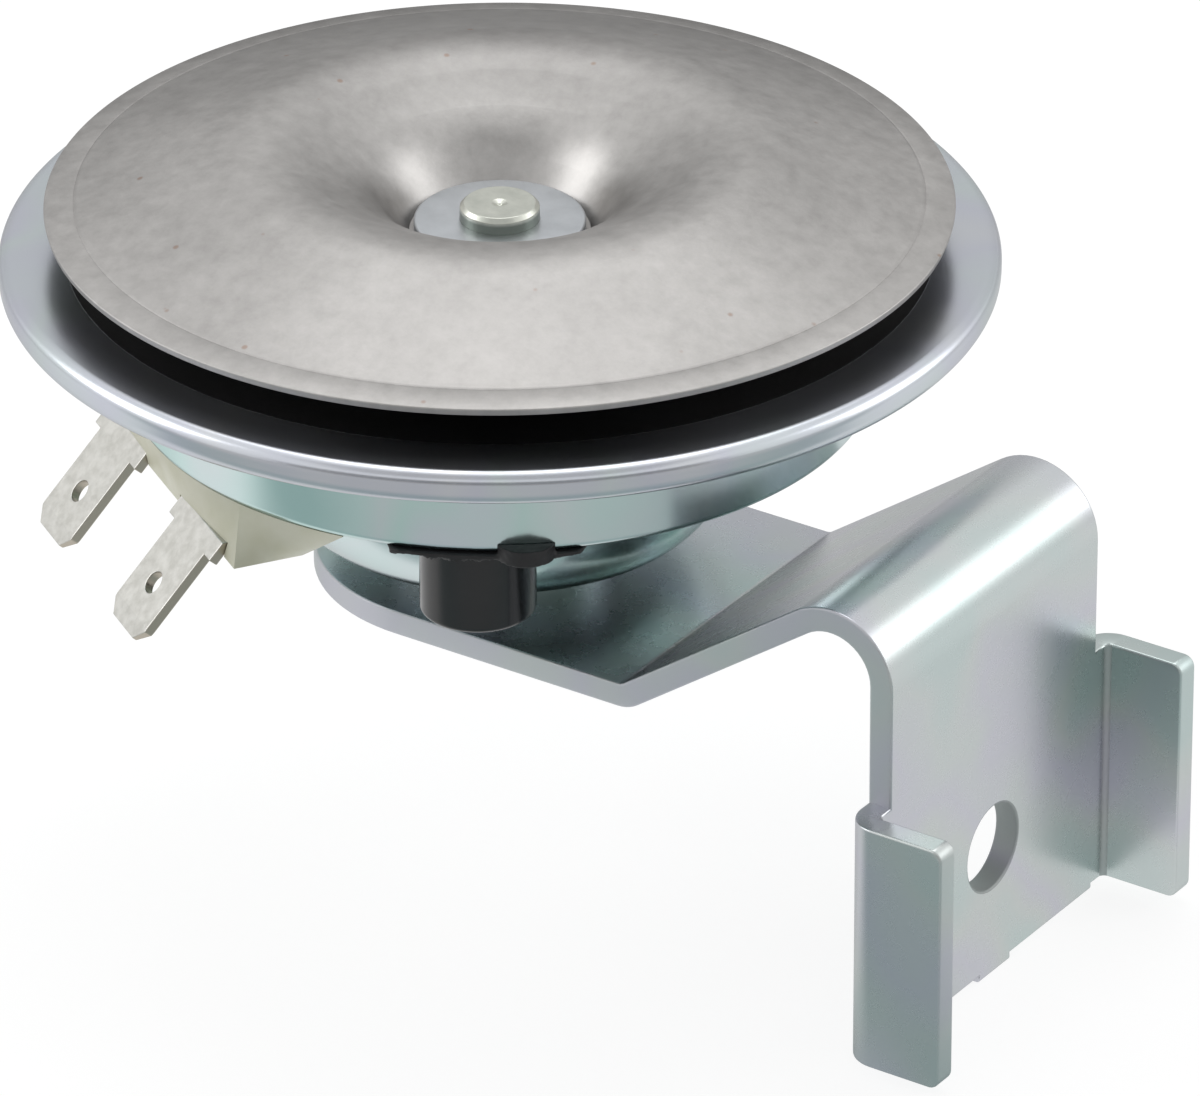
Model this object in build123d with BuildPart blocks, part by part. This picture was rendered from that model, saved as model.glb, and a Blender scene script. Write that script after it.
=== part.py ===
from build123d import *
import os
from math import cos, radians, sin, tan

# A small disc horn for a scooter or a light car, millimetres, +Z up.
#
# The origin is the centre of the bolt hole in the hanging leg of the bracket,
# on the leg's outer face, which is the face that is bolted to the vehicle.
# +X points out of that face and +Z is the axis along which the horn sounds.
#
# Heights inside the horn are measured from the rim of the tone disc (0, with
# everything else below it), because that rim is the level all the rest is set from.

# ---- driving dimensions ------------------------------------------------------------
axis_offset = 44.8        # horn axis to the bolted face of the bracket
rim_height = 42.4         # tone disc rim above the bolt hole

tone_radius = 34.5
tone_sheet = 0.6
tone_crest = 5.35         # height of the corner from which the crest is rounded
tone_floor = -2.6         # top of the flat floor in the throat

ring_outer_radius = 38.1
ring_band = 5.1           # width of the flat band of the cover ring
ring_top = -3.6
ring_sheet = 0.6
crimp_band = 2.3
gasket_sheet = 0.2
diaphragm_sheet = 0.3

case_sheet = 0.9
flange_sheet = 0.8
bowl_radius = 28.7
bowl_bottom = -15.1
neck_from_wall = 11.1     # from the side of the bowl to that of the neck
neck_bottom = -26.5
neck_corner = 4.9

plate_top = -29.0         # top face of the flat end of the bracket
strip_width = 29.1
strip_sheet = 2.0
crease_from_axis = 20.7
slope_angle = 35.4
crest_radius = 5.5
leg_bottom = -53.0
bolt_hole_diameter = 7.0
tab_top = -32.2
tab_bottom = -52.6
tab_outer_face = 18.1
tab_reach = 6.65          # how far the tabs stand out from the bolted face

stud_diameter = 6.0
stud_clearance = 0.15
nut_across_flats = 10.0
nut_height = 4.0
lock_washer_sheet = 1.4

core_radius = 6.2
armature_radius = 6.0
bobbin_bore_clearance = 0.2
air_gap = 0.8
armature_bottom = -15.6
bobbin_from_neck = 5.0
bobbin_wall = 1.0

pin_radius = 3.05
pin_top = -0.3
washer_radius = 6.55
washer_sheet = 1.0

adjuster_azimuth = -60.2
adjuster_from_wall = 6.35 # from the side of the bowl
cap_radius = 4.4
cap_bottom = -23.0

terminal_azimuth = 236.67
terminal_pitch = 15.9
blade_width = 6.3
blade_sheet = 0.8
blade_length = 8.5
blade_hole_diameter = 1.8
blade_hole_from_tip = 4.1
blade_angle = 48.75       # below the horizontal
block_bottom = -18.9
foot_top = -17.8          # the terminals' feet lie in channels in the block
rivet_from_wall = 6.2

# ---- levels and planes derived from them -------------------------------------------
ring_inner_radius = ring_outer_radius - ring_band
ring_inner_wall = ring_outer_radius - ring_sheet
crimp_radius = ring_outer_radius - crimp_band
flange_radius = ring_inner_wall - 0.1
neck_radius = bowl_radius - neck_from_wall
bobbin_radius = neck_radius - bobbin_from_neck
adjuster_from_axis = bowl_radius - adjuster_from_wall
rivet_from_axis = bowl_radius - rivet_from_wall
gasket_upper_top = ring_top - ring_sheet
diaphragm_top = gasket_upper_top - gasket_sheet
diaphragm_bottom = diaphragm_top - diaphragm_sheet
flange_top = diaphragm_bottom - gasket_sheet
flange_bottom = flange_top - flange_sheet
floor_top = bowl_bottom + case_sheet
neck_floor_top = neck_bottom + case_sheet

horn_axis = Axis((-axis_offset, 0, 0), (0, 0, 1))


def level(height, azimuth=0.0):
    """Horizontal plane at a height in the horn, its x pointing out at the azimuth."""
    x_dir = (cos(radians(azimuth)), sin(radians(azimuth)), 0)
    return Plane(origin=(-axis_offset, 0, rim_height + height), x_dir=x_dir, z_dir=(0, 0, 1))


def upright(azimuth=0.0):
    """Vertical plane through the horn axis: x is the radius, y the height in the horn."""
    angle = radians(azimuth)
    origin = (-axis_offset, 0, rim_height)
    return Plane(origin=origin, x_dir=(cos(angle), sin(angle), 0), z_dir=(sin(angle), -cos(angle), 0))


def corner(sketch, x, y):
    """The vertex of an open sketch that lies nearest to a point of its plane."""
    return sketch.vertices().sort_by_distance((x, y, 0))[0]


def save(part, name):
    """Label a finished piece and write its STEP file."""
    part.label = name
    export_step(part, "parts/" + name + ".step")


os.makedirs("parts", exist_ok=True)

# ---- tone disc: domed, with a deep smooth throat in the middle ---------------------------
throat_radius = 7.55
shoulder_radius = 8.75
shoulder_height = 1.05
crest_from_axis = 17.9
groove_from_axis = 32.0
groove_height = 0.65
half_sheet = tone_sheet / 2

with BuildPart() as tone_disc:
    with BuildSketch(upright()):
        with BuildLine():
            FilletPolyline(
                (pin_radius, tone_floor - half_sheet),
                (throat_radius, tone_floor - half_sheet),
                (shoulder_radius, shoulder_height - half_sheet),
                (crest_from_axis, tone_crest - half_sheet),
                (groove_from_axis, groove_height - half_sheet),
                (tone_radius, -half_sheet),
                radius=[1.2, 4.0, 8.0, 4.0],
            )
        trace(line_width=tone_sheet)
    revolve(axis=horn_axis)
save(tone_disc.part, "tone_disc")

# ---- armature: soft iron slug whose stub is peened over the washer -----------------------
shoulder_disc_radius = 8.5
shoulder_disc_bottom = -7.6
stub_radius = 4.0
pin_edge = 0.5

with BuildPart() as armature:
    with BuildSketch(upright()):
        with BuildLine():
            Polyline(
                (0, armature_bottom),
                (armature_radius, armature_bottom),
                (armature_radius, shoulder_disc_bottom),
                (shoulder_disc_radius, shoulder_disc_bottom),
                (shoulder_disc_radius, diaphragm_bottom),
                (stub_radius, diaphragm_bottom),
                (stub_radius, tone_floor - tone_sheet),
                (pin_radius, tone_floor - tone_sheet),
                (pin_radius, pin_top - pin_edge),
                (pin_radius - pin_edge, pin_top),
                (0, pin_top),
                close=True,
            )
        make_face()
    revolve(axis=horn_axis)
    # The punch that peened the pin left a small dimple in the middle of it.
    with Locations(level(pin_top)):
        CounterSinkHole(radius=0.15, counter_sink_radius=0.6, depth=0.5)
save(armature.part, "armature")

# ---- washers and collars on the armature ---------------------------------------------------
with BuildPart() as tone_washer:
    with BuildSketch(level(tone_floor)):
        Circle(washer_radius)
        Circle(pin_radius, mode=Mode.SUBTRACT)
    extrude(amount=washer_sheet)
    chamfer(tone_washer.edges().group_by(Axis.Z)[-1].sort_by(SortBy.RADIUS)[-1], 0.15)
save(tone_washer.part, "tone_washer")

tone_spacer_radius = 7.0

with BuildPart() as tone_spacer:
    with BuildSketch(level(diaphragm_top)):
        Circle(tone_spacer_radius)
        Circle(stub_radius, mode=Mode.SUBTRACT)
    extrude(amount=tone_floor - tone_sheet - diaphragm_top)
save(tone_spacer.part, "tone_spacer")

# A fibre ring under the armature's shoulder works the contact spring.
fibre_ring_radius = 9.4
fibre_ring_bottom = -9.2

with BuildPart() as armature_insulator:
    with BuildSketch(level(fibre_ring_bottom)):
        Circle(fibre_ring_radius)
        Circle(armature_radius, mode=Mode.SUBTRACT)
    extrude(amount=shoulder_disc_bottom - fibre_ring_bottom)
save(armature_insulator.part, "armature_insulator")

# ---- diaphragm, its two paper gaskets, and the ring crimped over the case flange -------------
diaphragm_clearance = 0.05

with BuildPart() as diaphragm:
    with BuildSketch(level(diaphragm_bottom)):
        Circle(flange_radius)
        Circle(stub_radius + diaphragm_clearance, mode=Mode.SUBTRACT)
    extrude(amount=diaphragm_sheet)
save(diaphragm.part, "diaphragm")

for gasket_name, gasket_bottom in (("gasket_upper", diaphragm_top), ("gasket_lower", flange_top)):
    with BuildPart() as gasket:
        with BuildSketch(level(gasket_bottom)):
            Circle(flange_radius)
            Circle(ring_inner_radius, mode=Mode.SUBTRACT)
        extrude(amount=gasket_sheet)
    save(gasket.part, gasket_name)

crimp_bottom = flange_bottom - ring_sheet

with BuildPart() as cover_ring:
    with BuildSketch(upright()) as ring_profile:
        with BuildLine():
            Polyline(
                (ring_inner_radius, ring_top),
                (ring_outer_radius, ring_top),
                (ring_outer_radius, crimp_bottom),
                (crimp_radius, crimp_bottom),
                (crimp_radius, flange_bottom),
                (ring_inner_wall, flange_bottom),
                (ring_inner_wall, gasket_upper_top),
                (ring_inner_radius, gasket_upper_top),
                close=True,
            )
        make_face()
        fillet(corner(ring_profile, ring_outer_radius, ring_top), 1.0)
        fillet(corner(ring_profile, ring_outer_radius, crimp_bottom), 1.1)
    revolve(axis=horn_axis)
save(cover_ring.part, "cover_ring")

# ---- housing: pressed bowl with a rounded neck for the magnet --------------------------------
bowl_inner_radius = bowl_radius - case_sheet
neck_inner_radius = neck_radius - case_sheet
stud_hole_radius = stud_diameter / 2 + stud_clearance
bush_radius = 3.0
screw_radius = 2.0
boss_radius = 2.5
boss_clearance = 0.1
# The corner of the breaker's pads lies a little inside the bowl's wall.
arm_width = 6.0
mount_length = 5.5
breaker_wall_gap = 0.55
breaker_corner_angle = 42.77
arm_far = (bowl_inner_radius - breaker_wall_gap) * cos(radians(breaker_corner_angle))
mount_far = (bowl_inner_radius - breaker_wall_gap) * sin(radians(breaker_corner_angle))
breaker_middle = arm_far - arm_width / 2
breaker_mount_side = mount_far - mount_length / 2
breaker_rivet_radius = 1.1
breaker_rivet_reach = (breaker_middle - 1.5, breaker_middle + 1.5)

with BuildPart() as housing:
    with BuildSketch(upright()) as housing_profile:
        with BuildLine():
            Polyline(
                (stud_hole_radius, neck_bottom),
                (neck_radius, neck_bottom),
                (neck_radius, bowl_bottom),
                (bowl_radius, bowl_bottom),
                (bowl_radius, flange_bottom),
                (flange_radius, flange_bottom),
                (flange_radius, flange_top),
                (bowl_inner_radius, flange_top),
                (bowl_inner_radius, floor_top),
                (neck_inner_radius, floor_top),
                (neck_inner_radius, neck_floor_top),
                (stud_hole_radius, neck_floor_top),
                close=True,
            )
        make_face()
        fillet(corner(housing_profile, neck_radius, neck_bottom), neck_corner)
        fillet(corner(housing_profile, neck_inner_radius, neck_floor_top), neck_corner - case_sheet)
        fillet(corner(housing_profile, neck_radius, bowl_bottom), 0.8)
        fillet(corner(housing_profile, neck_inner_radius, floor_top), 0.8 + case_sheet)
        fillet(corner(housing_profile, bowl_radius, bowl_bottom), 0.6)
        fillet(corner(housing_profile, bowl_inner_radius, floor_top), 0.3)
        fillet(corner(housing_profile, bowl_radius, flange_bottom), 0.8)
        fillet(corner(housing_profile, bowl_inner_radius, flange_top), 0.8 + case_sheet)
    revolve(axis=horn_axis)
    with BuildSketch(level(bowl_bottom, adjuster_azimuth)):
        with Locations((adjuster_from_axis, 0)):
            Circle(bush_radius)
        with Locations(*[(reach, breaker_mount_side) for reach in breaker_rivet_reach]):
            Circle(breaker_rivet_radius)
    extrude(amount=case_sheet, mode=Mode.SUBTRACT)
    with BuildSketch(level(bowl_bottom, terminal_azimuth)):
        with Locations((rivet_from_axis, -terminal_pitch / 2), (rivet_from_axis, terminal_pitch / 2)):
            Circle(boss_radius + boss_clearance)
    extrude(amount=case_sheet, mode=Mode.SUBTRACT)
save(housing.part, "housing")

# ---- bracket: one strip, bent up from the horn and down again to a leg with two tabs ----------
rise = tan(radians(slope_angle))
half_bend = tan(radians(slope_angle / 2))
strip_end = strip_width / 2
plate_under = plate_top - strip_sheet
leg_inner = axis_offset - strip_sheet
crest_corner_height = plate_top + (axis_offset - crease_from_axis) * rise
under_crease = crease_from_axis + strip_sheet * half_bend
under_crest_height = plate_under + (leg_inner - under_crease) * rise
crease_inner_radius = 1.0
tab_bend_radius = 0.5
tab_inner_face = tab_outer_face - strip_sheet
tab_tip = axis_offset + tab_reach
tab_tip_radius = 0.9
nub_width = 4.6
nub_height = 0.5
nub_side = 0.5

with BuildPart() as bracket:
    with BuildSketch(upright()):
        with BuildLine():
            top_line = FilletPolyline(
                (-strip_end, plate_top),
                (crease_from_axis, plate_top),
                (axis_offset, crest_corner_height),
                (axis_offset, leg_bottom),
                radius=[crease_inner_radius, crest_radius],
            )
            under_line = FilletPolyline(
                (-strip_end, plate_under),
                (under_crease, plate_under),
                (leg_inner, under_crest_height),
                (leg_inner, leg_bottom),
                radius=[crease_inner_radius + strip_sheet, crest_radius - strip_sheet],
            )
            Line(top_line @ 0, under_line @ 0)
            Line(top_line @ 1, under_line @ 1)
        make_face()
    extrude(amount=strip_width / 2, both=True)
    # The horn end of the strip is a half circle about the horn axis.
    with BuildSketch(level(leg_bottom)):
        Circle(strip_end)
        with Locations((axis_offset / 2, 0)):
            Rectangle(axis_offset, strip_width)
    extrude(amount=rim_height - leg_bottom, mode=Mode.INTERSECT)
    # Two tabs folded forward from the edges of the leg stop the bracket turning on its bolt.
    for side in (-1, 1):
        with BuildSketch(level(tab_bottom)) as tab_profile:
            with BuildLine():
                Polyline(
                    (leg_inner, side * strip_end * 0.8),
                    (leg_inner, side * tab_outer_face),
                    (tab_tip, side * tab_outer_face),
                    (tab_tip, side * tab_inner_face),
                    (axis_offset, side * tab_inner_face),
                    (axis_offset, side * strip_end * 0.8),
                    close=True,
                )
            make_face()
            fillet(
                corner(tab_profile, leg_inner, side * tab_outer_face),
                tab_bend_radius + strip_sheet,
            )
            fillet(corner(tab_profile, axis_offset, side * tab_inner_face), tab_bend_radius)
        extrude(amount=tab_top - tab_bottom)
    tip_edges = bracket.edges().filter_by(Axis.Y).group_by(Axis.X)[-1]
    fillet(tip_edges, tab_tip_radius)
    with BuildSketch(level(leg_bottom - nub_height)):
        with Locations((axis_offset - strip_sheet / 2, nub_side)):
            Rectangle(strip_sheet, nub_width)
    extrude(amount=nub_height)
    with BuildSketch(Plane.YZ.offset(-strip_sheet)):
        Circle(bolt_hole_diameter / 2)
    extrude(amount=strip_sheet, mode=Mode.SUBTRACT)
    with BuildSketch(level(plate_under)):
        Circle(stud_hole_radius)
    extrude(amount=strip_sheet, mode=Mode.SUBTRACT)
save(bracket.part, "bracket")

# ---- what clamps the horn to the bracket ---------------------------------------------------------
spacer_radius = 9.0

with BuildPart() as bracket_spacer:
    with BuildSketch(level(plate_top)):
        Circle(spacer_radius)
        Circle(stud_hole_radius, mode=Mode.SUBTRACT)
    extrude(amount=neck_bottom - plate_top)
save(bracket_spacer.part, "bracket_spacer")

lock_washer_bottom = plate_under - lock_washer_sheet
lock_washer_radius = 5.4
lock_gap = 0.8

with BuildPart() as lock_washer:
    with BuildSketch(level(lock_washer_bottom, 30)):
        Circle(lock_washer_radius)
        Circle(stud_hole_radius, mode=Mode.SUBTRACT)
        with Locations((0.8 * lock_washer_radius, 0)):
            Rectangle(0.75 * lock_washer_radius, lock_gap, rotation=20, mode=Mode.SUBTRACT)
    extrude(amount=lock_washer_sheet)
save(lock_washer.part, "lock_washer")

nut_bottom = lock_washer_bottom - nut_height
nut_plane = level(nut_bottom, 15)

with BuildPart() as bracket_nut:
    with BuildSketch(nut_plane):
        RegularPolygon(nut_across_flats / 2, 6, major_radius=False)
    extrude(amount=nut_height)
    # Both faces of the nut are chamfered by a cone about its axis.
    with BuildSketch(upright()):
        with BuildLine():
            Polyline(
                (0, nut_bottom),
                (nut_across_flats * 0.48, nut_bottom),
                (nut_across_flats * 0.59, nut_bottom + 0.65),
                (nut_across_flats * 0.59, nut_bottom + nut_height - 0.65),
                (nut_across_flats * 0.48, nut_bottom + nut_height),
                (0, nut_bottom + nut_height),
                close=True,
            )
        make_face()
    revolve(axis=horn_axis, mode=Mode.INTERSECT)
    with BuildSketch(nut_plane):
        Circle(stud_diameter / 2)
    extrude(amount=nut_height, mode=Mode.SUBTRACT)
save(bracket_nut.part, "bracket_nut")

# ---- electromagnet: pole core with its stud, bobbin and winding ------------------------------------
core_top = armature_bottom - air_gap
stud_bottom = nut_bottom - 0.8

with BuildPart() as pole_core:
    with BuildSketch(level(neck_floor_top)):
        Circle(core_radius)
    extrude(amount=core_top - neck_floor_top)
    with BuildSketch(level(stud_bottom)):
        Circle(stud_diameter / 2)
    extrude(amount=neck_floor_top - stud_bottom)
    chamfer(pole_core.edges().group_by(Axis.Z)[0], 0.5)
save(pole_core.part, "pole_core")

bobbin_bore = core_radius + bobbin_bore_clearance
bobbin_top = -14.6
drum_radius = bobbin_bore + bobbin_wall

with BuildPart() as coil_bobbin:
    with BuildSketch(level(neck_floor_top)):
        Circle(bobbin_radius)
        Circle(bobbin_bore, mode=Mode.SUBTRACT)
    extrude(amount=bobbin_wall)
    with BuildSketch(level(bobbin_top - bobbin_wall)):
        Circle(bobbin_radius)
        Circle(bobbin_bore, mode=Mode.SUBTRACT)
    extrude(amount=bobbin_wall)
    with BuildSketch(level(neck_floor_top)):
        Circle(drum_radius)
        Circle(bobbin_bore, mode=Mode.SUBTRACT)
    extrude(amount=bobbin_top - neck_floor_top)
save(coil_bobbin.part, "coil_bobbin")

with BuildPart() as coil_winding:
    with BuildSketch(level(neck_floor_top + bobbin_wall)):
        Circle(bobbin_radius - 0.5)
        Circle(drum_radius, mode=Mode.SUBTRACT)
    extrude(amount=bobbin_top - neck_floor_top - 2 * bobbin_wall)
save(coil_winding.part, "coil_winding")

# ---- contact breaker, beside the armature ------------------------------------------------------------
# Local x runs out from the horn axis over the adjuster, local y runs along the springs.
arm_near = arm_far - arm_width
free_end = -6.0
arm_length = mount_far - free_end
spring_sheet = 0.4
arm_sheet = 1.0
contact_radius = 1.9
contact_height = 0.6
contact_spot = (breaker_middle, free_end + 2.6)
spring_bottom = -11.6
spring_top = spring_bottom + spring_sheet
arm_bottom = spring_top + 2 * contact_height
arm_top = arm_bottom + arm_sheet
top_insulator_sheet = 0.6
tip_gap = 0.3


def breaker_pad(bottom, top, name):
    """One of the insulating pads between the springs, with holes for both rivets."""
    with BuildPart() as pad:
        with BuildSketch(level(bottom, adjuster_azimuth)):
            with Locations((breaker_middle, breaker_mount_side)):
                Rectangle(arm_width, mount_length)
            with Locations(*[(reach, breaker_mount_side) for reach in breaker_rivet_reach]):
                Circle(breaker_rivet_radius, mode=Mode.SUBTRACT)
        extrude(amount=top - bottom)
    save(pad.part, name)


breaker_pad(floor_top, spring_bottom, "breaker_base_pad")
breaker_pad(spring_top, arm_bottom, "breaker_middle_pad")
breaker_pad(arm_top, arm_top + top_insulator_sheet, "breaker_top_pad")

tip_inner = 7.0
tip_outer = 8.8
ramp_foot = 11.2
tip_top = fibre_ring_bottom - tip_gap
tongue_width = 4.0

with BuildPart() as breaker_spring:
    with BuildSketch(level(spring_bottom, adjuster_azimuth)):
        with Locations((breaker_middle, free_end + arm_length / 2)):
            Rectangle(arm_width, arm_length)
        with Locations(*[(reach, breaker_mount_side) for reach in breaker_rivet_reach]):
            Circle(breaker_rivet_radius, mode=Mode.SUBTRACT)
    extrude(amount=spring_sheet)
    # A narrow tongue rises from the spring to lie close under the armature's fibre ring.
    with BuildSketch(upright(adjuster_azimuth)):
        with BuildLine():
            Polyline(
                (tip_inner, tip_top),
                (tip_outer, tip_top),
                (ramp_foot, spring_top),
                (arm_near, spring_top),
                (arm_near, spring_bottom),
                (ramp_foot - 0.2, spring_bottom),
                (tip_outer - 0.2, tip_top - spring_sheet),
                (tip_inner, tip_top - spring_sheet),
                close=True,
            )
        make_face()
    extrude(amount=tongue_width / 2, both=True)
save(breaker_spring.part, "breaker_spring")

screw_pad_margin = 0.25
screw_pad_width = 5.0
screw_pad_reach = adjuster_from_axis + screw_radius + screw_pad_margin

with BuildPart() as contact_arm:
    with BuildSketch(level(arm_bottom, adjuster_azimuth)):
        with Locations((breaker_middle, free_end + arm_length / 2)):
            Rectangle(arm_width, arm_length)
        with Locations(((breaker_middle + screw_pad_reach) / 2, 0)):
            Rectangle(screw_pad_reach - breaker_middle, screw_pad_width)
        with Locations(*[(reach, breaker_mount_side) for reach in breaker_rivet_reach]):
            Circle(breaker_rivet_radius, mode=Mode.SUBTRACT)
    extrude(amount=arm_sheet)
save(contact_arm.part, "contact_arm")

for contact_name, contact_bottom in (
    ("moving_contact", spring_top),
    ("fixed_contact", spring_top + contact_height),
):
    with BuildPart() as contact:
        with BuildSketch(level(contact_bottom, adjuster_azimuth)):
            with Locations(contact_spot):
                Circle(contact_radius)
        extrude(amount=contact_height)
    save(contact.part, contact_name)

rivet_head = 0.7
breaker_head_radius = 1.5
breaker_stack_top = arm_top + top_insulator_sheet

with BuildPart() as breaker_rivets:
    for reach in breaker_rivet_reach:
        for bottom, top, radius in (
            (bowl_bottom - rivet_head, bowl_bottom, breaker_head_radius),
            (bowl_bottom, breaker_stack_top, breaker_rivet_radius),
            (breaker_stack_top, breaker_stack_top + rivet_head, breaker_head_radius),
        ):
            with BuildSketch(level(bottom, adjuster_azimuth)):
                with Locations((reach, breaker_mount_side)):
                    Circle(radius)
            extrude(amount=top - bottom)
save(breaker_rivets.part, "breaker_rivets")

# ---- adjuster: bush, screw, seal and the cap that covers them -----------------------------------------
seal_sheet = 0.7
seal_bottom = bowl_bottom - seal_sheet
bush_bottom = -17.8
screw_head_radius = 3.0
screw_head_top = -18.4
screw_head_bottom = -20.6

with BuildPart() as adjuster_bush:
    for bottom, top, radius in (
        (bush_bottom, floor_top, bush_radius),
        (floor_top, floor_top + 0.8, bush_radius + 0.5),
    ):
        with BuildSketch(level(bottom, adjuster_azimuth)):
            with Locations((adjuster_from_axis, 0)):
                Circle(radius)
                Circle(screw_radius, mode=Mode.SUBTRACT)
        extrude(amount=top - bottom)
save(adjuster_bush.part, "adjuster_bush")

with BuildPart() as adjuster_screw:
    with BuildSketch(level(screw_head_bottom, adjuster_azimuth)):
        with Locations((adjuster_from_axis, 0)):
            RegularPolygon(screw_head_radius, 6)
    extrude(amount=screw_head_top - screw_head_bottom)
    with BuildSketch(level(screw_head_top, adjuster_azimuth)):
        with Locations((adjuster_from_axis, 0)):
            Circle(screw_radius)
    extrude(amount=arm_bottom - screw_head_top)
    with BuildSketch(level(screw_head_bottom, adjuster_azimuth)):
        with Locations((adjuster_from_axis, 0)):
            Rectangle(2 * screw_head_radius, 0.9)
    extrude(amount=1.2, mode=Mode.SUBTRACT)
save(adjuster_screw.part, "adjuster_screw")

cap_wall = 1.0
cap_end = 1.2

with BuildPart() as adjuster_cap:
    with BuildSketch(level(cap_bottom, adjuster_azimuth)):
        with Locations((adjuster_from_axis, 0)):
            Circle(cap_radius)
    extrude(amount=seal_bottom - cap_bottom)
    fillet(adjuster_cap.edges().group_by(Axis.Z)[0], 0.35)
    with BuildSketch(level(cap_bottom + cap_end, adjuster_azimuth)):
        with Locations((adjuster_from_axis, 0)):
            Circle(cap_radius - cap_wall)
    extrude(amount=bush_bottom - cap_bottom - cap_end, mode=Mode.SUBTRACT)
    with BuildSketch(level(bush_bottom, adjuster_azimuth)):
        with Locations((adjuster_from_axis, 0)):
            Circle(bush_radius)
    extrude(amount=seal_bottom - bush_bottom, mode=Mode.SUBTRACT)
save(adjuster_cap.part, "adjuster_cap")

seal_from = -70.5
seal_to = -45.5
seal_band_radius = bowl_radius - 1.1
seal_band_width = 2.8
lobe_azimuth = -51.9
lobe_from_axis = bowl_radius - 0.8
lobe_radius = 2.3
lobe_top = bowl_bottom + 0.8
lobe_bottom = bowl_bottom - 0.9

with BuildPart() as adjuster_seal:
    with BuildSketch(level(seal_bottom, adjuster_azimuth)):
        with Locations((adjuster_from_axis, 0)):
            Circle(cap_radius + 0.9)
        with BuildLine() as seal_arc:
            CenterArc((0, 0), seal_band_radius, seal_from - adjuster_azimuth, seal_to - seal_from)
        SlotArc(seal_arc.wire(), height=seal_band_width)
        with Locations((adjuster_from_axis, 0)):
            Circle(bush_radius, mode=Mode.SUBTRACT)
        Circle(neck_radius + 0.8, mode=Mode.SUBTRACT)
    extrude(amount=seal_sheet)
    # A lobe of the seal stands out past the corner of the bowl.
    with BuildSketch(level(lobe_bottom, lobe_azimuth)):
        with Locations((lobe_from_axis, 0)):
            Circle(lobe_radius)
    extrude(amount=lobe_top - lobe_bottom)
    with BuildSketch(level(bowl_bottom)):
        Circle(bowl_radius + 0.02)
    extrude(amount=lobe_top - bowl_bottom, mode=Mode.SUBTRACT)
save(adjuster_seal.part, "adjuster_seal")

# ---- terminal block: spreads from a straight base up to the round edge of the bowl ------------------
block_inner = neck_radius + 0.6
block_inner_side = 11.0
block_edge_radius = bowl_radius - 0.3
block_tip_angle = 43.3
block_corner_angle = 29.0
block_tip_sweep = block_tip_angle - block_corner_angle
block_base_outer = bowl_radius - 1.2
block_base_inner = bowl_radius - 6.7
block_base_side = 14.4
root_width = 8.5
channel_clearance = 0.1
foot_inner = rivet_from_axis - 3.1
channel_length = bowl_radius - foot_inner + 2 * channel_clearance
rivet_radius = 1.5
rivet_spots = [(rivet_from_axis, -terminal_pitch / 2), (rivet_from_axis, terminal_pitch / 2)]

with BuildPart() as terminal_block:
    with BuildSketch(level(bowl_bottom, terminal_azimuth)):
        with BuildLine():
            tip = CenterArc((0, 0), block_edge_radius, block_corner_angle, block_tip_sweep)
            CenterArc((0, 0), block_edge_radius, -block_corner_angle, 2 * block_corner_angle)
            other_tip = CenterArc((0, 0), block_edge_radius, -block_tip_angle, block_tip_sweep)
            Polyline(
                tip @ 1,
                (block_inner, block_inner_side),
                (block_inner, -block_inner_side),
                other_tip @ 0,
            )
        make_face()
    with BuildSketch(level(block_bottom, terminal_azimuth)):
        with BuildLine():
            Polyline(
                (block_base_outer, -block_base_side),
                (block_base_outer, block_base_side),
                (block_base_inner, block_base_side),
                (block_inner, block_inner_side),
                (block_inner, -block_inner_side),
                (block_base_inner, -block_base_side),
                close=True,
            )
        make_face()
    loft(ruled=True)
    with BuildSketch(level(bowl_bottom, terminal_azimuth)):
        with Locations(*rivet_spots):
            Circle(boss_radius)
    extrude(amount=case_sheet)
    # Each terminal's foot lies in a channel that is open below and at the outer face.
    with BuildSketch(level(foot_top, terminal_azimuth)):
        for spot in rivet_spots:
            with Locations(((foot_inner + bowl_radius) / 2, spot[1])):
                Rectangle(channel_length, root_width + 2 * channel_clearance)
    extrude(amount=block_bottom - foot_top, mode=Mode.SUBTRACT)
    with BuildSketch(level(block_bottom, terminal_azimuth)):
        with Locations(*rivet_spots):
            Circle(rivet_radius)
    extrude(amount=floor_top - block_bottom, mode=Mode.SUBTRACT)
save(terminal_block.part, "terminal_block")

blade_drop = radians(blade_angle)
blade_bend = bowl_radius - 1.33
foot_middle = foot_top - blade_sheet / 2
root_length = 1.5
blade_chamfer = 1.2
blade_reach = root_length + blade_length


def blade_point(run):
    """Radius and height of a point on the blade's middle line, past the bend."""
    return (blade_bend + run * cos(blade_drop), foot_middle - run * sin(blade_drop))


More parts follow.
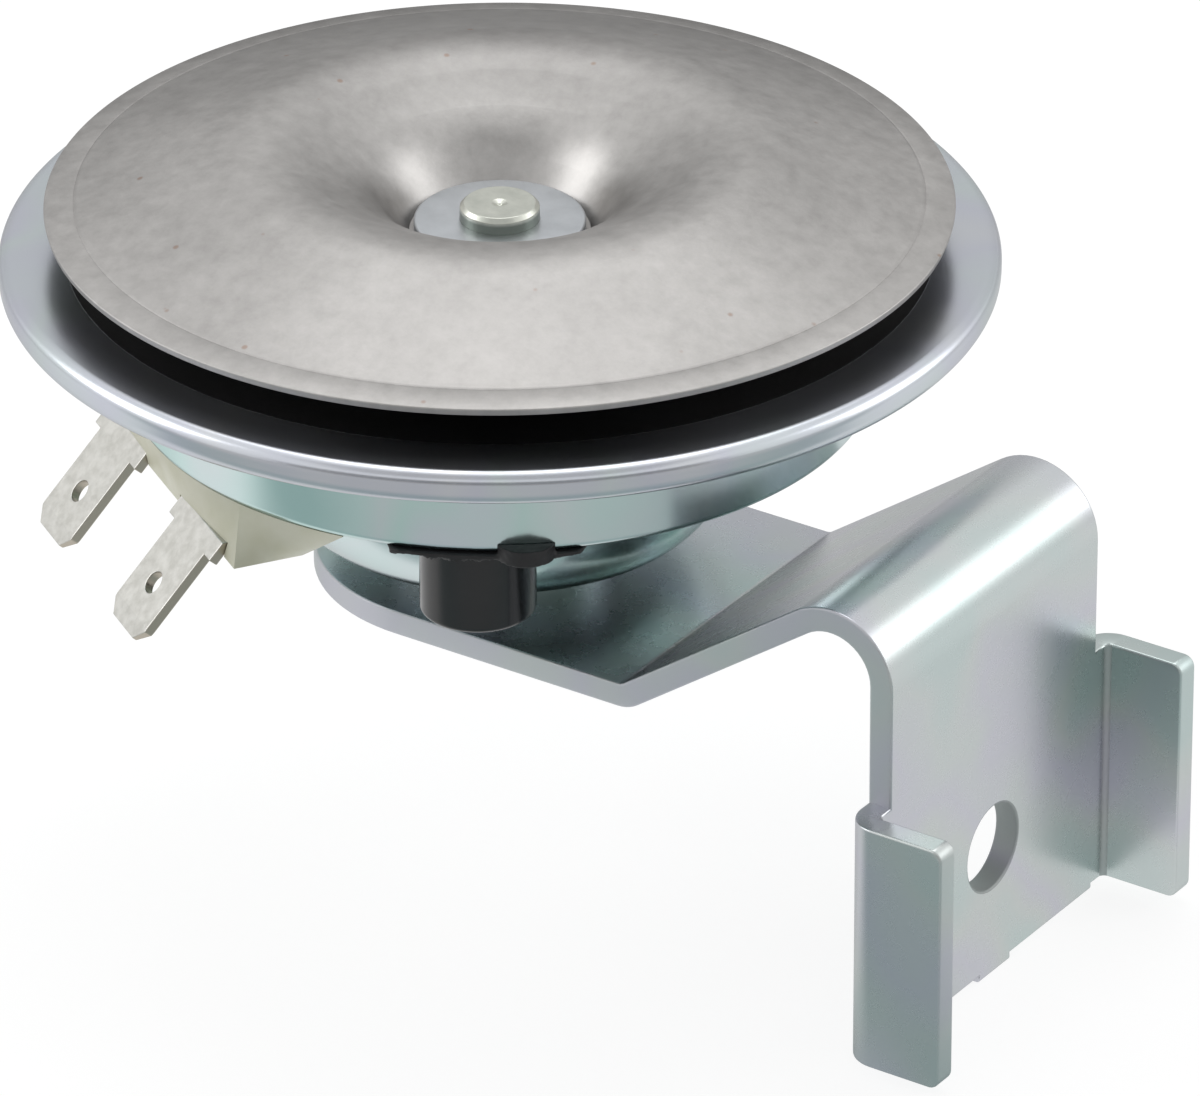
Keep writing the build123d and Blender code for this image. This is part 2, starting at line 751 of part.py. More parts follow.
def terminal(side, name):
    """A blade terminal: a flat foot under the block, bent down into a 6.3 mm blade."""
    angle = radians(terminal_azimuth)
    out = Vector(cos(angle), sin(angle), 0)
    run_dir = out * cos(blade_drop) + Vector(0, 0, -sin(blade_drop))
    face_dir = out * sin(blade_drop) + Vector(0, 0, cos(blade_drop))
    bend_spot = Vector(blade_bend, side * terminal_pitch / 2, 0)
    bend = level(foot_middle, terminal_azimuth).from_local_coords(bend_spot)
    blade_plane = Plane(origin=bend - face_dir * (blade_sheet / 2), x_dir=run_dir, z_dir=face_dir)
    with BuildPart() as piece:
        with BuildSketch(upright(terminal_azimuth)):
            with BuildLine():
                Polyline((foot_inner, foot_middle), (blade_bend, foot_middle), blade_point(blade_reach))
            trace(line_width=blade_sheet)
        extrude(amount=terminal_pitch / 2 + root_width / 2, both=True)
        # Only the strip on this side is kept, and its blade is narrowed past the shoulders.
        with BuildSketch(level(foot_middle + 2, terminal_azimuth)):
            with Locations((blade_bend, side * terminal_pitch / 2)):
                Rectangle(2 * bowl_radius, root_width)
        extrude(amount=-20, mode=Mode.INTERSECT)
        with BuildSketch(blade_plane.offset(-1)):
            for edge in (-1, 1):
                with Locations((root_length + blade_reach, edge * blade_width)):
                    Rectangle(2 * blade_reach, blade_width)
        extrude(amount=3, mode=Mode.SUBTRACT)
        with BuildSketch(blade_plane.offset(-1)):
            with Locations((blade_reach - blade_hole_from_tip, 0)):
                Circle(blade_hole_diameter / 2)
            for edge in (-1, 1):
                with BuildLine():
                    Polyline(
                        (blade_reach + 0.1, edge * (blade_width / 2 + 0.1)),
                        (blade_reach - blade_chamfer, edge * (blade_width / 2 + 0.1)),
                        (blade_reach + 0.1, edge * (blade_width / 2 - blade_chamfer)),
                        close=True,
                    )
                make_face()
        extrude(amount=3, mode=Mode.SUBTRACT)
        with BuildSketch(level(foot_top - blade_sheet, terminal_azimuth)):
            with Locations((rivet_from_axis, side * terminal_pitch / 2)):
                Circle(rivet_radius)
        extrude(amount=blade_sheet, mode=Mode.SUBTRACT)
    save(piece.part, name)


terminal(1, "terminal_front")
terminal(-1, "terminal_rear")

plate_sheet = 1.0
tag_sheet = 0.5
tag_width = 4.6
inner_plate_near = rivet_from_axis - 2.9
inner_plate_far = rivet_from_axis + 2.5
inner_plate_side = 11.0
inner_middle = (inner_plate_near + inner_plate_far) / 2
tag_bottom = floor_top + plate_sheet
tag_top = tag_bottom + tag_sheet

with BuildPart() as terminal_insulator:
    with BuildSketch(level(floor_top, terminal_azimuth)):
        with Locations((inner_middle, 0)):
            Rectangle(inner_plate_far - inner_plate_near, 2 * inner_plate_side)
        with Locations(*rivet_spots):
            Circle(rivet_radius, mode=Mode.SUBTRACT)
    extrude(amount=plate_sheet)
save(terminal_insulator.part, "terminal_insulator")

with BuildPart() as solder_tags:
    with BuildSketch(level(tag_bottom, terminal_azimuth)):
        for spot in rivet_spots:
            with Locations((inner_middle, spot[1])):
                Rectangle(inner_plate_far - inner_plate_near, tag_width)
        with Locations(*rivet_spots):
            Circle(rivet_radius, mode=Mode.SUBTRACT)
    extrude(amount=tag_sheet)
save(solder_tags.part, "solder_tags")

with BuildPart() as terminal_rivets:
    foot_under = foot_top - blade_sheet
    for bottom, top, radius in (
        (foot_under - rivet_head, foot_under, 2.5),
        (foot_under, tag_top, rivet_radius),
        (tag_top, tag_top + rivet_head, 2.2),
    ):
        with BuildSketch(level(bottom, terminal_azimuth)):
            with Locations(*rivet_spots):
                Circle(radius)
        extrude(amount=top - bottom)
save(terminal_rivets.part, "terminal_rivets")

# ---- the three wires inside -------------------------------------------------------------------------------
wire_radius = 0.35
wire_bend = 0.8


def lead(points, name):
    """An insulated wire along straight runs joined by arcs, ending face to face at both ends."""
    with BuildPart() as wire:
        with BuildLine() as path:
            FilletPolyline(*points, radius=wire_bend)
        with BuildSketch(Plane(origin=path.line @ 0, z_dir=path.line % 0)):
            Circle(wire_radius)
        sweep()
    save(wire.part, name)


def spot(height, azimuth, x, y):
    """A point of the horn in the axes of a level plane."""
    return level(height, azimuth).from_local_coords(Vector(x, y, 0))


lead_rise = bobbin_top + 2.3
lead_in_side = -3.0
tag_middle = tag_bottom + tag_sheet / 2
tag_edge = -terminal_pitch / 2 + 0.65
arm_middle = arm_bottom + arm_sheet / 2
contact_lead_rise = tag_top + 2.3

lead(
    [
        spot(bobbin_top, terminal_azimuth, bobbin_radius - 2.0, lead_in_side),
        spot(lead_rise, terminal_azimuth, bobbin_radius - 2.0, lead_in_side),
        spot(lead_rise, terminal_azimuth, inner_plate_near - 1.6, lead_in_side - 2.0),
        spot(tag_middle, terminal_azimuth, inner_plate_near - 1.6, tag_edge),
        spot(tag_middle, terminal_azimuth, inner_plate_near, tag_edge),
    ],
    "coil_lead_in",
)
lead_out_spot = (breaker_middle - 1.6, mount_far - mount_length - 3.6)
lead(
    [
        spot(bobbin_top, adjuster_azimuth, bobbin_radius - 3.0, lead_out_spot[1] - 2.4),
        spot(bobbin_top + 2.0, adjuster_azimuth, bobbin_radius - 3.0, lead_out_spot[1] - 2.4),
        spot(bobbin_top + 2.0, adjuster_azimuth, *lead_out_spot),
        spot(spring_bottom, adjuster_azimuth, *lead_out_spot),
    ],
    "coil_lead_out",
)
contact_lead_side = terminal_pitch / 2 - 1.75
lead(
    [
        spot(tag_top, terminal_azimuth, inner_plate_near + 0.5, contact_lead_side),
        spot(contact_lead_rise, terminal_azimuth, inner_plate_near + 0.5, contact_lead_side),
        spot(contact_lead_rise, terminal_azimuth, inner_plate_near - 1.0, inner_plate_side),
        spot(arm_middle, adjuster_azimuth, breaker_middle, free_end - 1.6),
        spot(arm_middle, adjuster_azimuth, breaker_middle, free_end),
    ],
    "contact_lead",
)
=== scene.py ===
# %% [markdown]
# # A disc horn on its bracket
# The sheet-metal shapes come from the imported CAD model, which is the frame that everything
# here is set in: metres, +Z up the horn's sound axis, the bolt hole at the origin.
# This lesson dresses that frame with real finishes, adds the small forms that
# a press shop leaves on such a horn, and sets up a camera and a soft studio round it.

# %% Load the frame
from math import cos, pi, radians, sin, tan

import bmesh
import bpy
from mathutils import Matrix, Vector, noise


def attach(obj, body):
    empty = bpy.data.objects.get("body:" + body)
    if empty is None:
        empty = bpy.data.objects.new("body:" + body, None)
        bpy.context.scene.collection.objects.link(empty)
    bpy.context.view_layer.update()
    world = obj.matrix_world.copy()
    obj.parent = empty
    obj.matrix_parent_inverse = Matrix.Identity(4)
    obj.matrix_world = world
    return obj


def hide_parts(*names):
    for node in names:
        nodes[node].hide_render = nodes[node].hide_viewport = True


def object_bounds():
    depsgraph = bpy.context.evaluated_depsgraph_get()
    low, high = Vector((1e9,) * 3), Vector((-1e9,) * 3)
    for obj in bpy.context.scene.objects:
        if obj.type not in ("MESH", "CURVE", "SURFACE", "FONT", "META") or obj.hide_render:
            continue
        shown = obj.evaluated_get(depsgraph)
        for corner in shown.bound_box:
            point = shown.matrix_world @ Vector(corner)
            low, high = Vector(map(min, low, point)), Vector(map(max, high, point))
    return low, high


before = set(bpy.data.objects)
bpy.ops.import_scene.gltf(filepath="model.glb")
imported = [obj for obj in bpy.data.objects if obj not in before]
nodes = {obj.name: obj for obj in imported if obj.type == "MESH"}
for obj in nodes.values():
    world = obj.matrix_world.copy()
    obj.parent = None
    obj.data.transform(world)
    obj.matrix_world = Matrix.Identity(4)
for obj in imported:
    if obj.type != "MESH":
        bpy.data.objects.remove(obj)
cad_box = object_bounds()
print("nodes in the frame:", len(nodes))

# %% [markdown]
# ## Sizes
# A maker works in millimetres, Blender in metres, so one small function does the change.
# Heights in the horn count from the rim of the tone disc, as they do on its drawing.

# %% Sizes shared by several pieces
def mm(length):
    """Millimetres to Blender's metres."""
    return length / 1000


axis_from_face = 44.8
rim_height = 42.4
horn_axis = Vector((mm(-axis_from_face), 0, 0))
block_azimuth = 236.67
adjuster_azimuth = -60.2
adjuster_reach = 22.35
bowl_bottom = -15.1
bowl_corner = 28.7
bowl_sheet = 0.9


def in_horn(radius, azimuth, height):
    """A point of the horn in metres, from millimetres and degrees."""
    turn = radians(azimuth)
    return Vector((
        mm(radius * cos(turn) - axis_from_face),
        mm(radius * sin(turn)),
        mm(rim_height + height),
    ))


def in_scene(name, data):
    """An object of this data, linked to the scene."""
    made = bpy.data.objects.new(name, data)
    bpy.context.scene.collection.objects.link(made)
    return made


print("top of the horn's pin:", in_horn(0, 0, -0.3))

# %% [markdown]
# ## Camera
# The camera looks down at the horn from its front left with a long lens, which keeps
# the ellipses nearly parallel. It is placed from two angles and a distance, so that
# each number has a meaning: the view's azimuth and elevation, and a small roll.

# %% Camera
view_azimuth = radians(33.97)
view_elevation = radians(28.33)
view_roll = radians(-0.18)
view_distance = mm(827.6)
forward = Vector((
    -cos(view_elevation) * sin(view_azimuth),
    cos(view_elevation) * cos(view_azimuth),
    -sin(view_elevation),
))
right = Vector((cos(view_azimuth), sin(view_azimuth), 0))
up = right.cross(forward)
across = cos(view_roll) * right + sin(view_roll) * up
upward = -sin(view_roll) * right + cos(view_roll) * up
# The rim's centre lies a little left of the middle of the frame, and well above it.
frame_shift_across = mm(7.60)
frame_shift_down = mm(26.47)
rim_centre = in_horn(0, 0, 0)
eye = rim_centre - view_distance * forward + frame_shift_across * across - frame_shift_down * upward

camera_data = bpy.data.cameras.new("camera")
camera_data.sensor_fit = "HORIZONTAL"
camera_data.sensor_width = 36
camera_data.lens = 327.7
camera = in_scene("camera", camera_data)
camera_axes = Matrix((across, upward, -forward)).transposed().to_4x4()
camera.matrix_world = Matrix.Translation(eye) @ camera_axes
bpy.context.scene.camera = camera
print("camera at", [round(value, 3) for value in eye])

# %% [markdown]
# ## How a material is written here
# A colour is written as the hex value that a paint chart gives. Those are sRGB values,
# and the shader works in linear light, so one function converts them.
# A second function adds a shader node, sets it and links it in one line, and a few
# short ones build on it for the nodes that every finish here needs.

# %% Helpers for materials
def linear(hex_colour):
    """An sRGB colour such as "C8CCCF" as linear RGBA."""
    shares = [int(hex_colour[i:i + 2], 16) / 255 for i in (0, 2, 4)]
    light = [c / 12.92 if c <= 0.04045 else ((c + 0.055) / 1.055) ** 2.4 for c in shares]
    return (*light, 1.0)


def add(tree, kind, sockets=None, **settings):
    """Add a node: settings are its properties, sockets gives each input a value or a link."""
    made = tree.nodes.new(kind)
    for name, value in settings.items():
        setattr(made, name, value)
    for name, value in (sockets or {}).items():
        if isinstance(value, bpy.types.NodeSocket):
            tree.links.new(value, made.inputs[name])
        else:
            made.inputs[name].default_value = value
    return made


def new_material(name, **surface):
    """A material with a Principled shader, its sockets set by name with _ for a space."""
    made = bpy.data.materials.new(name)
    made.use_nodes = True
    tree = made.node_tree
    shader = tree.nodes["Principled BSDF"]
    for socket, value in surface.items():
        shader.inputs[socket.replace("_", " ")].default_value = value
    return made, tree, shader


def ramp(tree, factor, stops):
    """A colour ramp from a factor, its stops as (place, hex colour or grey level)."""
    made = add(tree, "ShaderNodeValToRGB", {"Fac": factor})
    band = made.color_ramp
    while len(band.elements) < len(stops):
        band.elements.new(0.5)
    for element, (place, colour) in zip(band.elements, stops):
        element.position = place
        element.color = linear(colour) if isinstance(colour, str) else (colour, colour, colour, 1)
    return made.outputs["Color"]


def per_metre(size_mm):
    """The texture scale at which one feature of a noise is about this many millimetres."""
    return 1000 / size_mm


def speckle(tree, place, size_mm, **sockets):
    """The factor of a noise texture with features of about this many millimetres."""
    inputs = {"Vector": place, "Scale": per_metre(size_mm), **sockets}
    return add(tree, "ShaderNodeTexNoise", inputs).outputs["Fac"]


def mix(tree, factor, first, second, blend="MIX"):
    """Two colours mixed by a factor."""
    inputs = {"Factor": factor, "A": first, "B": second}
    made = add(tree, "ShaderNodeMix", inputs, data_type="RGBA", blend_type=blend)
    return made.outputs["Result"]


def spread(tree, value, low, high, start=0.0, end=1.0):
    """A value that runs from start to end, carried over to the range from low to high."""
    inputs = {"Value": value, "From Min": start, "From Max": end, "To Min": low, "To Max": high}
    return add(tree, "ShaderNodeMapRange", inputs).outputs["Result"]


def maths(tree, operation, *values):
    """The result of a math node for up to three values or links."""
    return add(tree, "ShaderNodeMath", dict(enumerate(values)), operation=operation).outputs[0]


def object_place(tree):
    """Object coordinates, so that a finish stays with its piece."""
    return add(tree, "ShaderNodeTexCoord").outputs["Object"]


def cut_and_bend_shade_share(tree):
    """The face attribute from 0 to 1: how freshly cut the metal is, and painted shade in the
    bracket's inner bends.
    """
    return add(tree, "ShaderNodeAttribute", attribute_name="cut").outputs["Fac"]


def lay_on(tree, shader, colour, roughness, grain, strength, depth_mm):
    """Link a colour and a roughness to the shader, and emboss its skin with a grain."""
    tree.links.new(colour, shader.inputs["Base Color"])
    tree.links.new(roughness, shader.inputs["Roughness"])
    inputs = {"Height": grain, "Strength": strength, "Distance": mm(depth_mm)}
    bump = add(tree, "ShaderNodeBump", inputs)
    tree.links.new(bump.outputs["Normal"], shader.inputs["Normal"])


print("linear value of mid grey:", round(linear("808080")[0], 3))

# %% [markdown]
# ## Bright zinc plating
# The bowl, the cover ring and the bracket are mild steel with bright zinc and a clear
# passivation. Its film is a few light waves thick, so it adds faint tints of lavender
# and sea green that drift over centimetres. The zinc itself is a satin metal: the sheet's
# rolled surface under it gives a fine grain that blurs reflections. Sheared edges are
# rougher, and a punched bore gets little zinc: an attribute named "cut" says where.
# The same attribute darkens the bracket's inner bends, and that darkening is painted shade.

# %% Zinc material
def round_the_horn(tree, place):
    """Radius in millimetres, angle in radians and height in metres about the horn's axis."""
    from_axis = add(tree, "ShaderNodeVectorMath", {0: place, 1: horn_axis}, operation="SUBTRACT")
    flat = add(tree, "ShaderNodeSeparateXYZ", {"Vector": from_axis.outputs["Vector"]}).outputs
    level = add(tree, "ShaderNodeCombineXYZ", {"X": flat["X"], "Y": flat["Y"]}).outputs[0]
    away = add(tree, "ShaderNodeVectorMath", {0: level}, operation="LENGTH").outputs["Value"]
    radius = maths(tree, "MULTIPLY", away, 1000.0)
    return radius, maths(tree, "ARCTAN2", flat["Y"], flat["X"]), flat["Z"]


def zinc(name, pale, tints, roughness, grain_mm, turned=False):
    """Satin zinc: tints drift slowly over it, and a fine grain roughens it."""
    made, tree, shader = new_material(name, Metallic=1.0, Specular_Tint=(0.7, 0.7, 0.7, 1))
    place = object_place(tree)
    drift = speckle(tree, place, 16, Detail=2.0, Roughness=0.4)
    tint = ramp(tree, drift, [(0.30 + 0.1 * i, colour) for i, colour in enumerate(tints)])
    film = mix(tree, 0.5, tint, linear(pale))
    cut = cut_and_bend_shade_share(tree)
    # Painted shade: the bracket's inner bends (0.9) come out darker here; the bore (1) darkens for
    # its thin zinc.
    zinc_loss_and_bend_shade = ramp(tree, cut, [(0.0, 1.0), (0.5, 1.0), (1.0, 0.7)])
    plated = mix(tree, 1.0, film, zinc_loss_and_bend_shade, "MULTIPLY")
    cloud = speckle(tree, place, 2.2, Detail=4.0, Roughness=0.6)
    satin = spread(tree, cloud, roughness - 0.02, roughness + 0.03)
    torn = maths(tree, "MULTIPLY_ADD", cut, 0.4, satin)
    if turned:
        # The lathe leaves fine rings: the grain follows radius and height, hardly the angle.
        radius, angle, height = round_the_horn(tree, place)
        far = maths(tree, "MULTIPLY", radius, 0.001)
        slow = maths(tree, "MULTIPLY", angle, mm(2))
        place = add(tree, "ShaderNodeCombineXYZ", {"X": far, "Y": slow, "Z": height}).outputs[0]
    grain = speckle(tree, place, grain_mm, Detail=2.0)
    lay_on(tree, shader, plated, torn, grain, 0.13, 0.01)
    return made


bracket_zinc = zinc(
    "satin zinc, bracket strip", "C5CACB",
    ["B8CAC7", "C5CBC9", "C5C2D0", "C6CBC7", "B5CAC6"], 0.27, 0.3,
)
bowl_zinc = zinc(
    "bright zinc, drawn bowl", "D0DEDD",
    ["A8D0CA", "C0DEDA", "D0D9DC", "B6DAD3", "CCD0DD"], 0.2, 0.5, turned=True,
)
ring_zinc = zinc(
    "bright zinc, turned cover ring", "CDCFD3",
    ["BFC4D2", "CCD0D6", "C3C7D6", "C4D2D2", "C2C5D5"], 0.25, 0.25, turned=True,
)
print("zinc finishes made")

# %% [markdown]
# ## Dull aluminium
# The tone disc is soft aluminium sheet, left as it came from the press. Outside it is
# dull and finely mottled, and the punch has burnished the throat, so the metal is a
# little smoother there. A few brown specks are old handling marks.

# %% Tone disc's material
def disc_aluminium(name):
    """Aluminium that turns from a burnished throat to a dull, mottled skin with its radius."""
    made, tree, shader = new_material(name, Metallic=1.0, Specular_Tint=(0.55, 0.55, 0.55, 1))
    place = object_place(tree)
    mottle = speckle(tree, place, 1.6, Detail=6.0, Roughness=0.7)
    tone = ramp(tree, mottle, [(0.3, "AAA8A6"), (0.5, "B3B1AF"), (0.7, "BBB9B7")])
    veil = ramp(tree, speckle(tree, place, 14, Detail=3.0), [(0.35, 0.9), (0.65, 1.0)])
    veiled = mix(tree, 1.0, tone, veil, "MULTIPLY")
    # Painted shade: the far half, away from the bracket and the camera, is darkened in the colour.
    far_side = {0: place, 1: (-0.56, 0.83, 0)}
    distance = add(tree, "ShaderNodeVectorMath", far_side, operation="DOT_PRODUCT").outputs["Value"]
    far_shade = spread(tree, distance, 1.0, 0.66, mm(30), mm(52))
    far_shaded = mix(tree, 1.0, veiled, ramp(tree, far_shade, [(0.0, 0.0), (1.0, 1.0)]), "MULTIPLY")
    spots = add(tree, "ShaderNodeTexVoronoi", {"Vector": place, "Scale": per_metre(5)})
    speck = ramp(tree, spots.outputs["Distance"], [(0.03, 0.5), (0.06, 0.0)])
    specked = mix(tree, speck, far_shaded, linear("8F6E58"))
    radius = round_the_horn(tree, place)[0]
    burnish = spread(tree, radius, 0.32, 0.41, 9.0, 12.5)
    rough = maths(tree, "MULTIPLY_ADD", mottle, 0.12, burnish)
    grain = speckle(tree, place, 0.35, Detail=3.0)
    lay_on(tree, shader, specked, rough, grain, 0.4, 0.02)
    return made


# %% Other metals
crown_bottom = mm(rim_height - 0.95)
crown_top = mm(rim_height - 0.75)


def plain_metal(name, colour_low, colour_high, roughness, patch_mm, grain_mm, edge=None, side=None):
    """A metal of wandering colour; cut edges and a pin's side may have their own."""
    made, tree, shader = new_material(name, Metallic=1.0)
    place = object_place(tree)
    patch = speckle(tree, place, patch_mm, Detail=5.0, Roughness=0.6)
    colour = ramp(tree, patch, [(0.35, colour_low), (0.65, colour_high)])
    if edge:
        colour = mix(tree, cut_and_bend_shade_share(tree), colour, linear(edge))
    if side:
        # The hammered crown is bright; below it the iron keeps its dark greenish skin.
        height = add(tree, "ShaderNodeSeparateXYZ", {"Vector": place}).outputs["Z"]
        crown = spread(tree, height, 0.0, 1.0, crown_bottom, crown_top)
        colour = mix(tree, crown, linear(side), colour)
    grain = speckle(tree, place, grain_mm, Detail=4.0)
    rough = spread(tree, patch, roughness - 0.06, roughness + 0.06)
    lay_on(tree, shader, colour, rough, grain, 0.4, 0.01)
    return made


dull_aluminium = disc_aluminium("dull aluminium, pressed sheet")
pin_steel = plain_metal("soft iron, zinc washed", "B4B7AE", "C9CBC1", 0.3, 2.0, 0.2)
washer_steel = plain_metal("zinc plated washer", "BABEC2", "C5C9CD", 0.35, 2.5, 0.25)
peened_iron = plain_metal(
    "soft iron, peened crown", "C0C3BA", "D2D4CB", 0.3, 2.0, 0.2, side="8A9189",
)
tinned = plain_metal("tin plate on brass", "BCBBB5", "CECDC8", 0.34, 0.9, 0.15, edge="B3AC9F")
print("metals made")

# %% Plastics and the rest
def moulded(name, colour_low, colour_high, roughness, patch_mm, grain_mm, depth, ior):
    """A material that is no metal, with a faintly uneven colour and skin."""
    made, tree, shader = new_material(name, IOR=ior)
    place = object_place(tree)
    patch = speckle(tree, place, patch_mm, Detail=3.0)
    colour = ramp(tree, patch, [(0.35, colour_low), (0.65, colour_high)])
    grain = speckle(tree, place, grain_mm, Detail=3.0)
    rough = spread(tree, grain, roughness - 0.05, roughness + 0.05)
    lay_on(tree, shader, colour, rough, grain, 0.3, depth)
    return made


ivory_nylon = moulded("nylon, natural ivory", "CFCDB6", "DAD8C6", 0.42, 4, 0.4, 0.02, 1.53)
black_cap = moulded("nylon, black, glossy", "161618", "1C1C1E", 0.17, 3, 0.5, 0.01, 1.53)
black_rubber = moulded("sealing rubber, black", "161416", "201E20", 0.5, 2, 0.3, 0.05, 1.52)
# The diaphragm is near black all over; it is seen only through the gap under the tone disc, which
# it keeps black.
near_black_diaphragm = moulded("spring steel, near black", "0B0B0C", "121214", 0.5, 3, 0.3, 0.01, 1.5)
gasket_paper = moulded("gasket paper", "8A7C66", "9B8D76", 0.8, 1.5, 0.15, 0.05, 1.45)
phenolic = moulded("phenolic board", "5A3A22", "6E4A2E", 0.4, 1.5, 0.2, 0.02, 1.6)
bobbin_nylon = moulded("nylon, white", "DEDBD0", "E8E5DC", 0.45, 3, 0.4, 0.01, 1.53)
enamelled_copper = moulded("enamelled copper wire", "8E4A26", "A65C30", 0.3, 1.0, 0.1, 0.02, 1.6)
wire_sleeve = moulded("silicone sleeve, red", "7A1F1A", "8E2A22", 0.5, 1.0, 0.2, 0.01, 1.43)
print("plastics made")

# %% Give every node its finish
finish_of = {
    bracket_zinc: ["bracket", "bracket_spacer", "lock_washer", "bracket_nut"],
    bowl_zinc: ["housing"],
    ring_zinc: ["cover_ring"],
    dull_aluminium: ["tone_disc"],
    pin_steel: ["armature", "pole_core", "tone_spacer", "adjuster_screw", "adjuster_bush",
                "breaker_rivets"],
    washer_steel: ["tone_washer"],
    tinned: ["terminal_front", "terminal_rear", "terminal_rivets", "solder_tags", "contact_arm",
             "breaker_spring", "moving_contact", "fixed_contact"],
    ivory_nylon: ["terminal_block"],
    black_cap: ["adjuster_cap"],
    black_rubber: ["adjuster_seal"],
    near_black_diaphragm: ["diaphragm"],
    gasket_paper: ["gasket_upper", "gasket_lower"],
    phenolic: ["terminal_insulator", "breaker_base_pad", "breaker_middle_pad", "breaker_top_pad",
               "armature_insulator"],
    bobbin_nylon: ["coil_bobbin"],
    enamelled_copper: ["coil_winding"],
    wire_sleeve: ["coil_lead_in", "coil_lead_out", "contact_lead"],
}
for finish, names in finish_of.items():
    for name in names:
        for slot in nodes[name].material_slots:
            slot.material = finish
print("nodes with a finish:", sum(len(names) for names in finish_of.values()))

# %% [markdown]
# ## Outlines with rounded corners
# Pressed and turned parts have no truly sharp corners, and it is the small roundings
# that catch the light. An outline is written as corners with a radius each, and the
# function puts a short arc at each, with a support point beside it so that the flat
# runs still shade flat.

# %% Outline helpers
arc_step = radians(9)
support_gap = 0.06


def rounded(corners, closed=True):
    """The points of an outline, in millimetres, from its corners as (x, y, radius)."""
    points = []
    for index, (x, y, radius) in enumerate(corners):
        here = Vector((x, y))
        if radius == 0 or (not closed and index in (0, len(corners) - 1)):
            points.append(here)
            continue
        back = (Vector(corners[index - 1][:2]) - here).normalized()
        ahead = (Vector(corners[(index + 1) % len(corners)][:2]) - here).normalized()
        opening = back.angle(ahead)
        reach = radius / tan(opening / 2)
        centre = here + (back + ahead).normalized() * radius / sin(opening / 2)
        first, last = here + back * reach - centre, here + ahead * reach - centre
        sweep = pi - opening
        steps = max(3, round(sweep / arc_step))
        points.append(centre + first + back * support_gap)
        for step in range(steps + 1):
            share = step / steps
            arc = (first * sin((1 - share) * sweep) + last * sin(share * sweep)) / sin(sweep)
            points.append(centre + arc)
        points.append(centre + last + ahead * support_gap)
    return points


def sheet_round(line, thickness, edge):
    """The closed outline of a sheet of even thickness along an open line."""
    left, right = [], []
    for index, point in enumerate(line):
        back = (point - line[index - 1]).normalized() if index else (line[1] - point).normalized()
        ahead = (line[index + 1] - point).normalized() if index < len(line) - 1 else back
        mean = (back + ahead).normalized()
        across = Vector((-mean.y, mean.x)) * thickness / 2 / mean.dot(ahead)
        left.append((point + across).to_tuple() + (0,))
        right.append((point - across).to_tuple() + (0,))
    for side in (left, right):
        for end in (0, -1):
            side[end] = side[end][:2] + (edge,)
    return rounded(left + right[::-1])


print("an arc of 90 degrees gets", round(pi / 2 / arc_step), "steps")

# %% [markdown]
# ## A spinning lathe in Geometry Nodes
# Six pieces of the horn are round, so one node tree makes them all. It lays out a grid
# with one row for each point of the outline and one column for each step round the
# axis, then moves each grid point to its radius, angle and height.

# %% The lathe tree
lathe = bpy.data.node_groups.new("lathe", "GeometryNodeTree")
for label, kind in (
    ("Outline", "NodeSocketObject"), ("Steps round", "NodeSocketInt"),
    ("Centre", "NodeSocketVector"), ("Finish", "NodeSocketMaterial"),
):
    lathe.interface.new_socket(label, in_out="INPUT", socket_type=kind)
lathe.interface.new_socket("Geometry", in_out="OUTPUT", socket_type="NodeSocketGeometry")
given = add(lathe, "NodeGroupInput").outputs
outline = add(lathe, "GeometryNodeObjectInfo", {"Object": given["Outline"]}).outputs["Geometry"]
size = add(lathe, "GeometryNodeAttributeDomainSize", {"Geometry": outline}, component="MESH")
count = size.outputs["Point Count"]


def whole(operation, first, second):
    """An integer maths node of the lathe."""
    sockets = {0: first, 1: second}
    return add(lathe, "FunctionNodeIntegerMath", sockets, operation=operation).outputs[0]


rows = whole("ADD", count, 1)
columns = whole("ADD", given["Steps round"], 1)
grid = add(lathe, "GeometryNodeMeshGrid", {"Vertices X": rows, "Vertices Y": columns})
index = add(lathe, "GeometryNodeInputIndex").outputs["Index"]
row = whole("DIVIDE_FLOOR", index, columns)
column = whole("MODULO", index, columns)
wrapped = whole("MODULO", row, count)
sample = add(lathe, "GeometryNodeSampleIndex", {
    "Geometry": outline, "Index": wrapped,
    "Value": add(lathe, "GeometryNodeInputPosition").outputs["Position"],
}, data_type="FLOAT_VECTOR")
flat = add(lathe, "ShaderNodeSeparateXYZ", {"Vector": sample.outputs["Value"]}).outputs
share = maths(lathe, "DIVIDE", column, given["Steps round"])
turn = maths(lathe, "MULTIPLY", share, 2 * pi)
x = maths(lathe, "MULTIPLY", maths(lathe, "COSINE", turn), flat["X"])
y = maths(lathe, "MULTIPLY", maths(lathe, "SINE", turn), flat["X"])
spot = add(lathe, "ShaderNodeCombineXYZ", {"X": x, "Y": y, "Z": flat["Z"]}).outputs[0]
moved = add(lathe, "ShaderNodeVectorMath", {0: spot, 1: given["Centre"]}, operation="ADD")
spun = add(lathe, "GeometryNodeSetPosition", {
    "Geometry": grid.outputs["Mesh"], "Position": moved.outputs[0],
})
welded = add(lathe, "GeometryNodeMergeByDistance", {
    "Geometry": spun.outputs[0], "Distance": mm(0.002),
})
real = add(lathe, "GeometryNodeRealizeInstances", {"Geometry": welded.outputs[0]})
painted = add(lathe, "GeometryNodeSetMaterial", {
    "Geometry": real.outputs[0], "Material": given["Finish"],
})
add(lathe, "NodeGroupOutput", {"Geometry": painted.outputs[0]})
print("lathe nodes:", len(lathe.nodes))

# %% Using the lathe
sharp_turn = radians(38)


